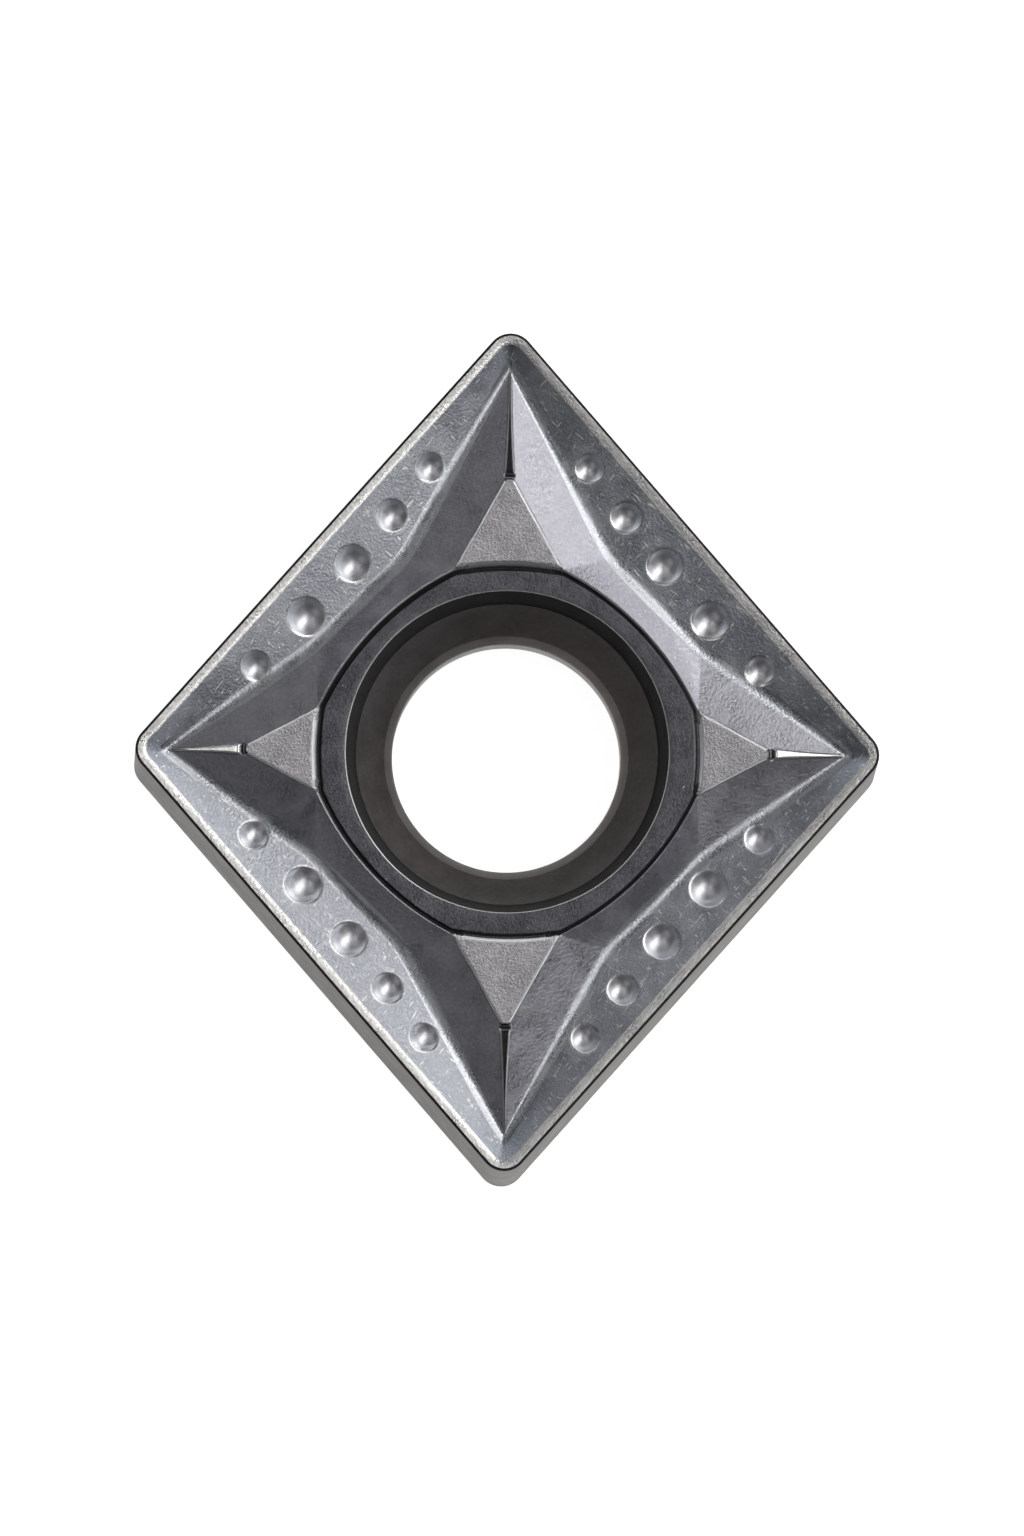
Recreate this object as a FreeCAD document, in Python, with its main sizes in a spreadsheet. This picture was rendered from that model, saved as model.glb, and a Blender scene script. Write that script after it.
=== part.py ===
import FreeCAD, Part
import math
import os

import Sketcher

# A four-cornered, double-sided indexable turning insert of cemented carbide, in one piece.
# Both faces carry the same pressed form: a narrow land along the cutting edge, a band that
# falls from the land to a valley, a four-pointed star that rises from the valley to a ring
# round the bore, and four raised seat pads on the points of the star.
# One quarter of one face is drawn, and mirrored about both diagonals and the mid-plane.
# The insert stands on its lower seat pads, with +Z up through the bore, +Y along the long
# diagonal and +X along the short one. Lengths are in millimetres and angles in degrees.

SIZES = {
    # Blank
    "inscribed_circle": 9.525,
    "corner_angle": 82.5,
    "nose_radius": 0.4,
    "thickness": 3.18,
    "edge_drop": 0.05,
    # Land, and the depth of the valley below the cutting edge
    "land_width": 0.17,
    "valley_depth": 0.25,
    # Valley line: where it meets the two diagonals, and its two bends on each side. A bend is
    # placed along the edge from mid-side, towards the long diagonal, and in from the edge.
    "valley_reach_long": 6.46,
    "valley_reach_short": 5.70,
    "valley_tip_half_width": 0.02,
    "bend_long_along": 1.275,
    "bend_long_inset": 1.30,
    "bend_short_along": -0.77,
    "bend_short_inset": 1.18,
    # Star, and the ring between the bore's mouth and the pads
    "ring_drop": 0.04,
    "ring_width_long": 0.36,
    "ring_width_short": 0.47,
    "ring_arc_radius": 4.9,
    "crease_width": 0.06,
    "crease_depth": 0.035,
    # Seat pads on the points of the star
    "crest_half_width": 0.07,
    "pad_long_length": 1.54,
    "pad_long_half_width": 0.92,
    "pad_short_length": 1.23,
    "pad_short_half_width": 0.725,
    "pad_bevel": 0.025,
    # Bore and its countersinks
    "bore_diameter": 3.81,
    "bore_wall_length": 0.60,
    "throat_diameter": 4.10,
    "throat_length": 0.96,
    "entry_diameter": 5.10,
    "entry_depth": 0.49,
    "mouth_diameter": 5.40,
    # Dimples in the band, counted from the long diagonal and placed as the bends are
    "dimple_wall_angle": 50.0,
    "dimple_one_along": 2.715,
    "dimple_one_inset": 0.607,
    "dimple_one_radius": 0.24,
    "dimple_two_along": 1.69,
    "dimple_two_inset": 0.68,
    "dimple_two_radius": 0.26,
    "dimple_three_along": 0.645,
    "dimple_three_inset": 0.727,
    "dimple_three_radius": 0.30,
    "dimple_four_along": -0.537,
    "dimple_four_inset": 0.742,
    "dimple_four_radius": 0.315,
    "dimple_five_along": -1.72,
    "dimple_five_inset": 0.657,
    "dimple_five_radius": 0.24,
}

doc = FreeCAD.newDocument("insert")
sheet = doc.addObject("Spreadsheet::Sheet", "Sizes")
for row, (alias, value) in enumerate(SIZES.items(), start=1):
    sheet.set(f"A{row}", str(value))
    sheet.setAlias(f"A{row}", alias)
doc.recompute()

body = doc.addObject("PartDesign::Body", "Insert")
body.Label = "carbide_insert"

# Formulas that several outlines share
COS = "cos(Sizes.corner_angle / 2)"
SIN = "sin(Sizes.corner_angle / 2)"
SIDE_DISTANCE = "(Sizes.inscribed_circle / 2)"
NOSE_CENTRE = f"({SIDE_DISTANCE} - Sizes.nose_radius)"
SEAT_LEVEL = "(Sizes.thickness / 2)"
RING_LEVEL = f"({SEAT_LEVEL} - Sizes.ring_drop)"
EDGE_LEVEL = f"({SEAT_LEVEL} - Sizes.edge_drop)"
VALLEY_LEVEL = f"({EDGE_LEVEL} - Sizes.valley_depth)"
PAD_LONG_BASE = "(Sizes.mouth_diameter / 2 + Sizes.ring_width_long)"
PAD_LONG_TIP = f"({PAD_LONG_BASE} + Sizes.pad_long_length)"
PAD_SHORT_BASE = "(Sizes.mouth_diameter / 2 + Sizes.ring_width_short)"
PAD_SHORT_TIP = f"({PAD_SHORT_BASE} + Sizes.pad_short_length)"
ZERO = "0"

# Heights closer than this are the same level
SAME_LEVEL = 1e-4


def number(formula):
    """Value of a formula over the sheet's sizes."""
    return float(sheet.evalExpression(formula))


def side_point(along, inset):
    """Place of a point given along the cutting edge and in from it."""
    across = f"({SIDE_DISTANCE} - {inset})"
    return f"{across} * {COS} - {along} * {SIN}", f"{across} * {SIN} + {along} * {COS}"


def nose_points_long(inset):
    """Crown of the nose on the long diagonal, and where it meets the side."""
    radius = f"(Sizes.nose_radius - {inset})"
    centre = f"{NOSE_CENTRE} / {SIN}"
    return (ZERO, f"{centre} + {radius}"), (f"{radius} * {COS}", f"{centre} + {radius} * {SIN}")


def nose_points_short(inset):
    """Where the nose on the short diagonal meets the side, and its crown."""
    radius = f"(Sizes.nose_radius - {inset})"
    centre = f"{NOSE_CENTRE} / {COS}"
    return (f"{centre} + {radius} * {COS}", f"{radius} * {SIN}"), (f"{centre} + {radius}", ZERO)


def origin_plane(role):
    """One of the body's own origin planes."""
    return [item for item in body.Origin.OriginFeatures if item.Role == role][0]


def new_sketch(label, plane, level=None):
    """Empty sketch on one of the body's origin planes, raised to a level."""
    sketch = body.newObject("Sketcher::SketchObject", label)
    sketch.AttachmentSupport = [(origin_plane(plane), "")]
    sketch.MapMode = "FlatFace"
    if level:
        sketch.setExpression("AttachmentOffset.Base.z", level)
    return sketch


def bind(sketch, constraint, name, formula):
    """Add a dimension and let a formula drive it."""
    index = sketch.addConstraint(constraint)
    sketch.renameConstraint(index, name)
    sketch.setExpression(f"Constraints.{name}", formula)


def arc_between(start, end, radius):
    """Arc of less than half a turn that bulges away from the origin."""
    chord = end - start
    out = FreeCAD.Vector(chord.y, -chord.x, 0).normalize()
    middle = (start + end) * 0.5
    if out.dot(middle) < 0:
        out = out * -1
    centre = middle - out * (radius**2 - chord.Length**2 / 4) ** 0.5
    first, last = (math.atan2(p.y - centre.y, p.x - centre.x) for p in (start, end))
    if (last - first) % (2 * math.pi) > math.pi:
        first, last = last, first
    circle = Part.Circle(centre, FreeCAD.Vector(0, 0, 1), radius)
    return Part.ArcOfCircle(circle, first, last)


def draw_outline(sketch, corners, arcs):
    """Closed outline through corners given as pairs of formulas.

    arcs gives the radius formula of each stretch that is an arc, by the number of the
    corner that it starts from. Every corner is dimensioned from the sketch's origin.
    """
    first = sketch.GeometryCount
    places = [FreeCAD.Vector(number(x), number(y), 0) for x, y in corners]
    for index, start in enumerate(places):
        end = places[(index + 1) % len(places)]
        if index in arcs:
            sketch.addGeometry(arc_between(start, end, number(arcs[index])), False)
        else:
            sketch.addGeometry(Part.LineSegment(start, end), False)
    ends = {}
    for index, start in enumerate(places):
        edge = sketch.Geometry[first + index]
        forward = edge.StartPoint.distanceToPoint(start) < edge.EndPoint.distanceToPoint(start)
        ends[index] = (1, 2) if forward else (2, 1)
    for index in range(len(places)):
        following = (index + 1) % len(places)
        sketch.addConstraint(Sketcher.Constraint(
            "Coincident", first + index, ends[index][1], first + following, ends[following][0]))
    for index, (x, y) in enumerate(corners):
        for axis, formula, value in (("X", x, places[index].x), ("Y", y, places[index].y)):
            if formula == ZERO:
                origin_axis = -2 if axis == "X" else -1
                sketch.addConstraint(Sketcher.Constraint(
                    "PointOnObject", first + index, ends[index][0], origin_axis))
            else:
                dimension = Sketcher.Constraint(
                    f"Distance{axis}", -1, 1, first + index, ends[index][0], value)
                bind(sketch, dimension, f"corner{first + index}_{axis.lower()}", formula)
    for index, formula in arcs.items():
        dimension = Sketcher.Constraint("Radius", first + index, number(formula))
        bind(sketch, dimension, f"arc{first + index}_radius", formula)


def add_feature(kind, label, **settings):
    """Feature that builds on the body so far, with its plain settings."""
    feature = body.newObject(f"PartDesign::{kind}", label)
    for name, value in settings.items():
        setattr(feature, name, value)
    return feature


# Blank: a quarter of the rhombus between the mid-plane and the cutting edge
blank_outline = new_sketch("blank_outline", "XY_Plane")
draw_outline(
    blank_outline,
    [(ZERO, ZERO), *nose_points_long(ZERO), *nose_points_short(ZERO)],
    {1: "Sizes.nose_radius", 3: "Sizes.nose_radius"})
blank = add_feature("Pad", "blank", Profile=blank_outline)
blank.setExpression("Length", EDGE_LEVEL)

# Band: the hollow between the land and the valley
bend_long = ("Sizes.bend_long_along", "Sizes.bend_long_inset")
bend_short = ("Sizes.bend_short_along", "Sizes.bend_short_inset")
land_radius = "(Sizes.nose_radius - Sizes.land_width)"

land_outline = new_sketch("land_outline", "XY_Plane", EDGE_LEVEL)
draw_outline(
    land_outline,
    [(ZERO, ZERO),
     *nose_points_long("Sizes.land_width"),
     side_point(bend_long[0], "Sizes.land_width"),
     side_point(bend_short[0], "Sizes.land_width"),
     *nose_points_short("Sizes.land_width")],
    {1: land_radius, 5: land_radius})

valley_corners = [
    (ZERO, ZERO),
    (ZERO, "Sizes.valley_reach_long"),
    ("Sizes.valley_tip_half_width", "Sizes.valley_reach_long"),
    side_point(*bend_long),
    side_point(*bend_short),
    ("Sizes.valley_reach_short", "Sizes.valley_tip_half_width"),
    ("Sizes.valley_reach_short", ZERO)]
valley_outline = new_sketch("valley_outline", "XY_Plane", VALLEY_LEVEL)
draw_outline(valley_outline, valley_corners, {})
doc.recompute()
band = add_feature(
    "SubtractiveLoft", "band", Profile=land_outline, Sections=[valley_outline], Ruled=True)

# Star: walls and crests that rise from the valley to the ring
star_foot = new_sketch("star_foot", "XY_Plane", VALLEY_LEVEL)
draw_outline(star_foot, valley_corners, {})

pad_long_corner = ("Sizes.pad_long_half_width", PAD_LONG_BASE)
pad_short_corner = (PAD_SHORT_BASE, "Sizes.pad_short_half_width")
star_top = new_sketch("star_top", "XY_Plane", RING_LEVEL)
draw_outline(
    star_top,
    [(ZERO, ZERO),
     (ZERO, PAD_LONG_TIP),
     ("Sizes.crest_half_width", PAD_LONG_TIP),
     pad_long_corner,
     pad_short_corner,
     (PAD_SHORT_TIP, "Sizes.crest_half_width"),
     (PAD_SHORT_TIP, ZERO)],
    {3: "Sizes.ring_arc_radius"})
doc.recompute()
star = add_feature(
    "AdditiveLoft", "star", Profile=star_foot, Sections=[star_top], Ruled=True)

# Dimples: ball-shaped hollows in a row along the band
valley_long = (
    f"(Sizes.valley_reach_long * {COS})",
    f"({SIDE_DISTANCE} - Sizes.valley_reach_long * {SIN})")
valley_short = (
    f"(-Sizes.valley_reach_short * {SIN})",
    f"({SIDE_DISTANCE} - Sizes.valley_reach_short * {COS})")


def valley_inset(along, start, end):
    """How far the valley lies in from the edge, between two of its points."""
    share = f"(({along} - {start[0]}) / ({end[0]} - {start[0]}))"
    return f"({start[1]} + ({end[1]} - {start[1]}) * {share})"


# The balls' own poles lie level, clear of the small cap that cuts the band
POLES_LEVEL = FreeCAD.Rotation(FreeCAD.Vector(1, 0, 0), 90)


def cut_dimple(name, start, end):
    """Ball that cuts the band in a circle, square to the band's slope."""
    along = f"Sizes.dimple_{name}_along"
    inset = f"Sizes.dimple_{name}_inset"
    radius = f"Sizes.dimple_{name}_radius"
    slope = f"(Sizes.valley_depth / ({valley_inset(along, start, end)} - Sizes.land_width))"
    stretch = f"sqrt(1 + {slope} ^ 2)"
    rise = f"({radius} / tan(Sizes.dimple_wall_angle))"
    x, y = side_point(along, f"({inset} + {rise} * {slope} / {stretch})")
    level = f"{EDGE_LEVEL} - ({inset} - Sizes.land_width) * {slope} + {rise} / {stretch}"
    ball = add_feature("SubtractiveSphere", f"dimple_{name}")
    ball.setExpression("Radius", f"{radius} / sin(Sizes.dimple_wall_angle)")
    ball.AttachmentSupport = [(origin_plane("XY_Plane"), "")]
    ball.MapMode = "FlatFace"
    ball.AttachmentOffset = FreeCAD.Placement(FreeCAD.Vector(), POLES_LEVEL)
    for axis, formula in zip("xyz", (x, y, level)):
        ball.setExpression(f"AttachmentOffset.Base.{axis}", formula)


cut_dimple("one", valley_long, bend_long)
cut_dimple("two", valley_long, bend_long)
cut_dimple("three", bend_long, bend_short)
cut_dimple("four", bend_long, bend_short)
cut_dimple("five", bend_short, valley_short)


# Crease: a narrow groove between the star's wall and the ring
def nearer(corner):
    """Corner moved towards the bore by the width of the crease."""
    x, y = corner
    keep = f"(1 - Sizes.crease_width / sqrt({x} ^ 2 + {y} ^ 2))"
    return f"{x} * {keep}", f"{y} * {keep}"


crease_outline = new_sketch("crease_outline", "XY_Plane", RING_LEVEL)
draw_outline(
    crease_outline,
    [pad_long_corner, pad_short_corner, nearer(pad_short_corner), nearer(pad_long_corner)],
    {0: "Sizes.ring_arc_radius", 2: "Sizes.ring_arc_radius"})
doc.recompute()
crease = add_feature("Pocket", "crease", Profile=crease_outline)
crease.setExpression("Length", "Sizes.crease_depth")


# Seat pads: half of one on each diagonal
def pad_base_middle(base, half_width):
    """Where a pad's curved base crosses its diagonal."""
    arc = "Sizes.ring_arc_radius"
    return f"{base} + {arc} - sqrt({arc} ^ 2 - {half_width} ^ 2)"


pad_outlines = new_sketch("pad_outlines", "XY_Plane", RING_LEVEL)
draw_outline(
    pad_outlines,
    [(ZERO, pad_base_middle(PAD_LONG_BASE, "Sizes.pad_long_half_width")),
     (ZERO, PAD_LONG_TIP),
     ("Sizes.crest_half_width", PAD_LONG_TIP),
     pad_long_corner],
    {3: "Sizes.ring_arc_radius"})
draw_outline(
    pad_outlines,
    [(pad_base_middle(PAD_SHORT_BASE, "Sizes.pad_short_half_width"), ZERO),
     (PAD_SHORT_TIP, ZERO),
     (PAD_SHORT_TIP, "Sizes.crest_half_width"),
     pad_short_corner],
    {3: "Sizes.ring_arc_radius"})
pads = add_feature("Pad", "pads", Profile=pad_outlines, AllowMultiFace=True)
pads.setExpression("Length", "Sizes.ring_drop")

# Bore: half of the profile, from the mid-plane up through the mouth
bore_profile = new_sketch("bore_profile", "XZ_Plane")
draw_outline(
    bore_profile,
    [(ZERO, ZERO),
     ("Sizes.bore_diameter / 2", ZERO),
     ("Sizes.bore_diameter / 2", "Sizes.bore_wall_length / 2"),
     ("Sizes.throat_diameter / 2", "Sizes.throat_length / 2"),
     ("Sizes.entry_diameter / 2", f"{RING_LEVEL} - Sizes.entry_depth"),
     ("Sizes.mouth_diameter / 2", RING_LEVEL),
     ("Sizes.mouth_diameter / 2", "Sizes.thickness"),
     (ZERO, "Sizes.thickness")],
    {})
doc.recompute()
bore = add_feature(
    "Groove", "bore", Profile=bore_profile, ReferenceAxis=(bore_profile, ["V_Axis"]), Angle=360)


# Whole face: the quarter mirrored about both diagonals
def mirror_all(label, plane):
    """Mirror all that is built so far about one of the body's origin planes."""
    doc.recompute()
    mirror = add_feature(
        "Mirrored", label, MirrorPlane=(origin_plane(plane), [""]), TransformMode="Whole shape")
    body.Tip = mirror
    doc.recompute()
    return mirror


mirror_all("both_sides", "YZ_Plane")
whole_face = mirror_all("both_ends", "XZ_Plane")

# Bevel round the seat pads
seat_height = number(SEAT_LEVEL)
rim = [
    f"Edge{index}" for index, edge in enumerate(whole_face.Shape.Edges, start=1)
    if edge.BoundBox.ZMin > seat_height - SAME_LEVEL]
bevel = add_feature("Chamfer", "pad_bevel", Base=(whole_face, rim))
bevel.setExpression("Size", "Sizes.pad_bevel")
doc.recompute()

# Second face, and the seat pads brought down to the floor
mirror_all("both_faces", "XY_Plane")
body.setExpression("Placement.Base.z", SEAT_LEVEL)
doc.recompute()

# Check everything, then write the part
failed = [item.Name for item in doc.Objects if {"Invalid", "Error"} & set(item.State)]
if failed:
    raise RuntimeError(f"not built: {failed}")
if body.Shape.isNull() or not body.Shape.isValid() or len(body.Shape.Solids) != 1:
    raise RuntimeError("the insert is not one sound solid")
os.makedirs("parts", exist_ok=True)
body.Shape.exportStep(f"parts/{body.Label}.step")
print(f"{body.Label}: {body.Shape.Volume:.2f} cubic millimetres, {len(body.Shape.Faces)} faces")
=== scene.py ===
# %% [markdown]
# A carbide turning insert, dressed for its picture.
#
# A turning insert is a small block of hard metal that is clamped in a holder and cuts with one
# of its corners. When that corner is worn, the insert is turned or flipped to the next one, so
# its two faces are mirror images of each other. The imported solid gives the frame: its size, its
# place and the body that carries it. This lesson makes the same form again as one fine surface,
# with the soft corners, the honed edge and the finishes that pressing, sintering and grinding
# leave on a real insert.
# Some of these finishes are painted light and shade: painted highlights on edges, rims, ribs and
# dimples, and painted shade in the crease, the notches, along the honed edge and in the entry of
# the bore.

# %% load the frame
import math

import bpy
import numpy as np
from mathutils import Matrix, Vector


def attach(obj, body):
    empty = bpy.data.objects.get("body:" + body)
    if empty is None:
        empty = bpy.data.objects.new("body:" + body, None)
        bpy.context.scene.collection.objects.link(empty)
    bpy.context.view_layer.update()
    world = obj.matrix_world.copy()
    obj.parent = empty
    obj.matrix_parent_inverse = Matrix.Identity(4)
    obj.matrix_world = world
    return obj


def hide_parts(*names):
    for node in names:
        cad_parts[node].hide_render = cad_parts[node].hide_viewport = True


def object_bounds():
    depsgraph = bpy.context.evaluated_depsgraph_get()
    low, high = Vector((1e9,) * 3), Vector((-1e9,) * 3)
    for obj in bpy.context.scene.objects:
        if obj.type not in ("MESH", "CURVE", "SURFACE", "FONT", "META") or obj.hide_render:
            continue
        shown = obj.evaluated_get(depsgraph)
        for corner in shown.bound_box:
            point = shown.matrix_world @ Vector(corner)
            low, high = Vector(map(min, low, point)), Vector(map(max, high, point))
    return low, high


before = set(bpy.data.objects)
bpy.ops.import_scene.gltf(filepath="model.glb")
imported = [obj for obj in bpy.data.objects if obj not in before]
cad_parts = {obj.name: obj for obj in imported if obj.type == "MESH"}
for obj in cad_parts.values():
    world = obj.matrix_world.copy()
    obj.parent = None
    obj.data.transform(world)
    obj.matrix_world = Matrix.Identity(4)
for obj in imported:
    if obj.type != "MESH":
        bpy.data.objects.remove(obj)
cad_low, cad_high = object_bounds()
print("solid, in millimetres:", [round(1000 * (b - a), 3) for a, b in zip(cad_low, cad_high)])

# %% [markdown]
# An insert is known by a few sizes: the circle that fits between its four sides, the angle of
# its sharper corners and its thickness. They could be typed in where they are used, but with a
# name they can be compared and changed. They are in millimetres. The thickness is read from the
# solid, so the two models rest on the same seats, and heights are counted from the mid-plane. A
# point in plan has its x along the short diagonal and its y along the long one.

# %% sizes of the insert
MM = 0.001
THICKNESS = (cad_high.z - cad_low.z) / MM
INSCRIBED_CIRCLE = 9.525
NOSE_ANGLE = 82.5
HALF_ANGLE = math.radians(NOSE_ANGLE / 2)
COS, SIN = math.cos(HALF_ANGLE), math.sin(HALF_ANGLE)

SEAT = THICKNESS / 2
RING = SEAT - 0.04
EDGE = SEAT - 0.05
LAND_FOOT = EDGE - 0.018
VALLEY = EDGE - 0.25
print("heights: seat", round(SEAT, 3), "ring", round(RING, 3), "edge", round(EDGE, 3))

# %% [markdown]
# One side of the insert runs from the crown of one nose to the crown of the next. A point on
# that run has a number u from 0 to 5: the long nose, the stretch to the first bend of the
# valley, the middle, the stretch after the second bend, and the short nose. Each line of the
# form could be a curve drawn by hand. Here each is a formula of the same u, so the points with
# the same u face each other, and the surface between two lines is straight from one to the
# other, as the tool that cut the die made it.

# %% building blocks for the lines
STRETCHES = 5


def side_point(along, inset):
    """Point at a distance along the side from its middle, and at a distance in from it."""
    across = INSCRIBED_CIRCLE / 2 - inset
    return np.array([across * COS - along * SIN, across * SIN + along * COS])


def straight(start, end):
    """Straight line: the start plus the share t of the way to the end."""
    return lambda t: start + t[:, None] * (end - start)


def round_arc(centre, radius, first, last):
    """Arc: the centre plus the radius in the direction that turns evenly with t."""
    def curve(t):
        turn = first + t * (last - first)
        return centre + radius * np.stack([np.cos(turn), np.sin(turn)], axis=1)
    return curve


def along_side(u, curves):
    """Joins one curve for each unit of u into one line."""
    line = np.zeros((len(u), 2))
    for k, curve in enumerate(curves):
        here = (u >= k) & (u <= k + 1)
        line[here] = curve(u[here] - k)
    return line


print("middle of a side:", side_point(0, 0).round(3))

# %% [markdown]
# The outline is what the grinding wheel leaves: four straight flanks, and a small arc at each
# nose, which does the cutting. A Bevel modifier on a block would round the noses too, but it
# would put its points where it likes. So the outline is written as straight lines and arcs.
# Moved in by an inset, the same formula gives the inner edge of the land, the narrow strip that
# strengthens the cutting edge.

# %% outline and land
NOSE_RADIUS = 0.4
LAND_WIDTH = 0.17

# The two bends of the valley: how far along the side, and how far in
BEND_LONG = (1.275, 1.30)
BEND_SHORT = (-0.77, 1.18)


def offset_outline(u, inset):
    """Outline of the insert moved in by inset, its two noses being arcs of less radius."""
    radius = NOSE_RADIUS - inset
    reach = INSCRIBED_CIRCLE / 2 - NOSE_RADIUS
    long_nose = np.array([0.0, reach / SIN])
    short_nose = np.array([reach / COS, 0.0])
    normal = np.array([COS, SIN])
    stops = [long_nose + radius * normal, side_point(BEND_LONG[0], inset),
             side_point(BEND_SHORT[0], inset), short_nose + radius * normal]
    return along_side(u, [
        round_arc(long_nose, radius, math.pi / 2, HALF_ANGLE),
        straight(stops[0], stops[1]), straight(stops[1], stops[2]),
        straight(stops[2], stops[3]),
        round_arc(short_nose, radius, HALF_ANGLE, 0.0)])


crowns = offset_outline(np.array([0.0, STRETCHES]), 0.0)
print("diagonals:", round(2 * crowns[0, 1], 3), "and", round(2 * crowns[1, 0], 3))

# %% [markdown]
# The chipbreaker is the pressed hollow that curls the chip. Its floor is a valley that lies
# farthest in beside the middle of the side and comes to a point near each nose, with two bends
# on the way. The bends are soft on a real insert, because the die is polished. A smoothing
# modifier would soften every line, but a parabola between two points of this one softens the
# bends alone.

# %% valley
VALLEY_TIP_LONG = np.array([0.02, 6.46])
VALLEY_TIP_SHORT = np.array([5.70, 0.02])
BENDS_AT = (2, 3)
BEND_REACH = 0.10


def valley_line(u):
    """Floor of the valley: straight from bend to bend, and to a point near each nose."""
    bends = side_point(*BEND_LONG), side_point(*BEND_SHORT)
    return along_side(u, [
        straight(np.array([0.0, VALLEY_TIP_LONG[1]]), VALLEY_TIP_LONG),
        straight(VALLEY_TIP_LONG, bends[0]), straight(*bends),
        straight(bends[1], VALLEY_TIP_SHORT),
        straight(VALLEY_TIP_SHORT, np.array([VALLEY_TIP_SHORT[0], 0.0]))])


def eased(u, line, reach):
    """Rounds the two bends of a line: between its two ends a bend is a parabola."""
    points = line(u)
    for bend in BENDS_AT:
        first, corner, last = line(np.array([bend - reach, bend, bend + reach], float))
        t = (u - (bend - reach)) / (2 * reach)
        here = (t > 0) & (t < 1)
        t = t[here, None]
        points[here] = (1 - t) ** 2 * first + 2 * t * (1 - t) * corner + t ** 2 * last
    return points


print("bends of the valley:", valley_line(np.array(BENDS_AT, float)).round(3).tolist())

# %% [markdown]
# Inside the valley stands a star with four points. Its walls rise to the three-sided pads, on
# which the insert rests while the other face cuts, and between the pads to the ring round the
# bore. The ring's outline isn't a circle: it is made of flatter arcs that meet at the corners of
# the pads. Booleans between blocks and cylinders would find these lines, but leave long thin
# faces. Here each arc is worked out from its radius and the two corners that it runs through.

# %% star and ring
PAD_TIP_LONG = np.array([0.07, 4.60])
PAD_TIP_SHORT = np.array([4.40, 0.07])
PAD_CORNER_LONG = np.array([0.92, 3.06])
PAD_CORNER_SHORT = np.array([3.17, 0.725])
RING_ARC = 4.9


def arc_centre(start, end):
    """Centre of the ring's arc through two points, on the side of the bore."""
    chord = end - start
    out = np.array([chord[1], -chord[0]]) / np.linalg.norm(chord)
    middle = (start + end) / 2
    out = out * np.sign(out @ middle)
    return middle - out * math.sqrt(RING_ARC ** 2 - chord @ chord / 4)


ARC_LONG = arc_centre(PAD_CORNER_LONG * [-1, 1], PAD_CORNER_LONG)
ARC_MIDDLE = arc_centre(PAD_CORNER_LONG, PAD_CORNER_SHORT)
ARC_SHORT = arc_centre(PAD_CORNER_SHORT, PAD_CORNER_SHORT * [1, -1])


def ring_stretch(centre, start, end):
    """Part of the ring's outline: an arc about its centre from one point to another."""
    first, last = (math.atan2(*(p - centre)[::-1]) for p in (start, end))
    return round_arc(centre, RING_ARC, first, last)


def star_line(u):
    """Top of the star's walls: beside the pads, and along the ring between them."""
    return along_side(u, [
        straight(np.array([0.0, PAD_TIP_LONG[1]]), PAD_TIP_LONG),
        straight(PAD_TIP_LONG, PAD_CORNER_LONG),
        ring_stretch(ARC_MIDDLE, PAD_CORNER_LONG, PAD_CORNER_SHORT),
        straight(PAD_CORNER_SHORT, PAD_TIP_SHORT),
        straight(PAD_TIP_SHORT, np.array([PAD_TIP_SHORT[0], 0.0]))])


# The crest is a narrow strip, so it takes a small share of the ring's outline
CREST_SHARE = 0.08


def ring_line(u, inset):
    """Outline of the ring as one run, every point moved in towards the bore by inset."""
    crown_long = ARC_LONG + [0.0, RING_ARC]
    crown_short = ARC_SHORT + [RING_ARC, 0.0]
    beside_long = ring_stretch(ARC_LONG, crown_long, PAD_CORNER_LONG)
    beside_short = ring_stretch(ARC_SHORT, PAD_CORNER_SHORT, crown_short)
    rest = 1 - CREST_SHARE
    line = along_side(u, [
        lambda t: beside_long(CREST_SHARE * t),
        lambda t: beside_long(CREST_SHARE + rest * t),
        ring_stretch(ARC_MIDDLE, PAD_CORNER_LONG, PAD_CORNER_SHORT),
        lambda t: beside_short(rest * t),
        lambda t: beside_short(rest + CREST_SHARE * t)])
    return line * (1 - inset / np.linalg.norm(line, axis=1, keepdims=True))


print("centre of the middle arc:", ARC_MIDDLE.round(3))

# %% [markdown]
# The dimples are what the eye goes to, and their lips are sharp. Fine columns of points all
# round would draw them, and make the mesh far too heavy. So the columns stand close where a
# dimple is and wide apart on the plain stretches. The spacing is a function along the side. The
# columns are found by adding up its inverse and cutting the sum into equal parts.

# %% dimples, and the columns of one side
# Each dimple: how far along the side, how far in, and its radius
DIMPLES = [(2.715, 0.607, 0.24), (1.69, 0.68, 0.26), (0.645, 0.727, 0.30),
           (-0.537, 0.742, 0.315), (-1.72, 0.657, 0.24)]
FINE, WIDE, NOSE_SPACING = 0.0245, 0.16, 0.02
DIMPLE_MARGIN = 0.05
SAMPLES = 6001
SAME_COLUMN = 0.001


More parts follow.
